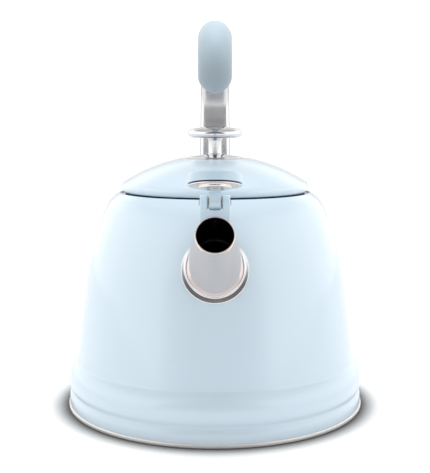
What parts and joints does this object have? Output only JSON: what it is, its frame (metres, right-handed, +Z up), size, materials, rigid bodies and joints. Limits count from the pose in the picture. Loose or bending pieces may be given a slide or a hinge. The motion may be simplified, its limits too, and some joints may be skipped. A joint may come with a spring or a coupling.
{
  "type": "stovetop whistling kettle",
  "caption": "Bell-shaped enamelled stovetop kettle with steel base and spout, lift-off domed lid, flip-up whistle cap and a fixed hooked rear handle.",
  "frame": {"origin": "on the body's axis, in the plane that the base rests on", "axes": "+Z up along the body's axis, -Y towards the spout, +Y towards the handle's upright, +X to the right when the spout faces the viewer"},
  "size_m": [0.187, 0.2355, 0.2388],
  "materials": {
    "enamel_blue": "high-gloss pale blue coating on pressed steel",
    "whistle_blue": "gloss moulded heat-resistant resin, pale blue",
    "grip_blue": "satin soft-touch coating on moulded resin, pale blue",
    "polished_steel": "mirror-polished stainless steel",
    "base_steel": "turned and brushed stainless steel",
    "inner_steel": "satin drawn stainless steel",
    "whistle_steel": "satin pressed stainless steel",
    "hardware_steel": "turned stainless steel",
    "blackened_steel": "blackened stainless steel, not polished inside the spout",
    "core_aluminium": "rolled aluminium",
    "dark_silicone": "matt moulded silicone"
  },
  "bodies": {
    "kettle": {"base_cap": "base_steel", "base_core": "core_aluminium", "base_floor": "inner_steel", "body_shell": "enamel_blue", "spout": "polished_steel", "spout_flange": "polished_steel", "whistle_bracket": "whistle_blue", "bracket_rivets": "blackened_steel", "hinge_pin": "hardware_steel", "friction_washers": "hardware_steel", "handle_upright": "polished_steel", "handle_backing_plate": "inner_steel", "handle_screws": "hardware_steel", "screw_seals": "dark_silicone", "handle_core": "hardware_steel", "core_screw": "hardware_steel", "handle_grip": "grip_blue"},
    "lid": {"lid_shell": "enamel_blue", "lid_ring": "inner_steel", "lid_seal": "dark_silicone", "knob_plate": "polished_steel", "knob_stem": "polished_steel", "knob_disc": "polished_steel", "knob_washer": "inner_steel", "knob_screw": "hardware_steel"},
    "whistle_cap": {"cap_shell": "whistle_blue", "cap_gasket": "dark_silicone", "whistle_plate": "whistle_steel", "whistle_cup": "whistle_steel"}
  },
  "joints": [
    {"name": "lid_lift", "type": "slide", "parent": "kettle", "child": "lid", "axis": [0, 0, 1], "range_m": [0, 0.03]},
    {"name": "cap_flip", "type": "hinge", "parent": "kettle", "child": "whistle_cap", "pos_m": [0, -0.11015, 0.13781], "axis": [-1, 0, 0], "range_deg": [-72, 20]}
  ]
}
